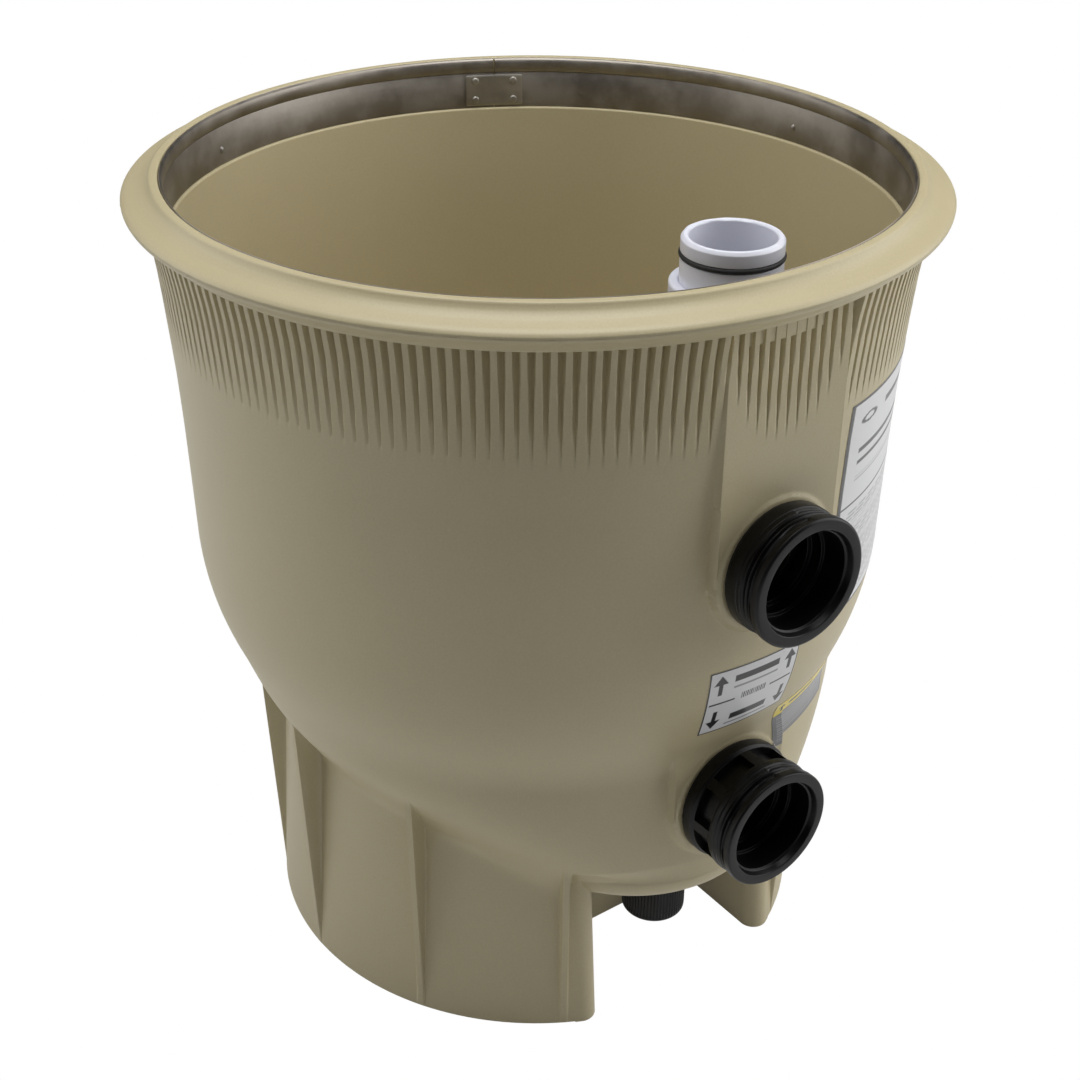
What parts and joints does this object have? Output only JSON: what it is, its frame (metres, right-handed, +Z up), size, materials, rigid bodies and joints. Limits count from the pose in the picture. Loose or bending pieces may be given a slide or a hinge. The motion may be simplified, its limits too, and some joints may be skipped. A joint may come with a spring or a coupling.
{
  "type": "pool filter tank lower half",
  "caption": "Open lower tank half of a pool grid filter: clamp flange with a steel backup ring, two threaded ports, an inner outlet elbow and a capped drain under a domed bottom.",
  "frame": {"origin": "on the tank's axis, on the floor that the skirt stands on", "axes": "+Z up along the tank's axis; both ports point along -Y"},
  "size_m": [0.578, 0.5875, 0.6225],
  "materials": {
    "beige_plastic": "satin moulded",
    "steel": "rolled",
    "black_plastic": "satin moulded",
    "black_rubber": "matt",
    "white_plastic": "gloss moulded",
    "label_film": "printed film"
  },
  "bodies": {
    "tank": {"tank_shell": "beige_plastic", "backup_ring": "steel", "splice_plate": "steel", "splice_rivet_1": "steel", "splice_rivet_2": "steel", "splice_rivet_3": "steel", "splice_rivet_4": "steel", "outlet_bulkhead": "black_plastic", "inlet_bulkhead": "black_plastic", "outlet_gasket": "black_rubber", "inlet_gasket": "black_rubber", "outlet_spacer": "black_plastic", "inlet_spacer": "black_plastic", "outlet_locknut": "black_plastic", "inlet_locknut": "black_plastic", "outlet_elbow": "black_plastic", "elbow_hub": "white_plastic", "elbow_spigot": "black_plastic", "outlet_standpipe": "white_plastic", "standpipe_o_ring": "black_rubber", "outlet_elbow_seal": "black_rubber", "inlet_diffuser": "white_plastic", "drain_spigot": "black_plastic", "drain_gasket": "black_rubber", "drain_locknut": "black_plastic", "rating_label": "label_film", "flow_label": "label_film", "caution_label": "label_film"},
    "drain_seal": {"drain_cap_washer": "black_rubber"},
    "cap": {"drain_cap": "black_plastic"}
  },
  "joints": [
    {"name": "drain_cap_lift", "type": "slide", "parent": "tank", "child": "drain_seal", "axis": [0, 0, -1], "range_m": [0, 0.0126]},
    {"name": "drain_cap_turn", "type": "hinge", "parent": "drain_seal", "child": "cap", "pos_m": [0, -0.161, 0.06], "axis": [0, 0, -1], "range_deg": [0, 1080]}
  ],
  "couplings": [
    {"joint": "drain_cap_turn", "follows": "drain_cap_lift", "rad_per_m": 1496}
  ]
}
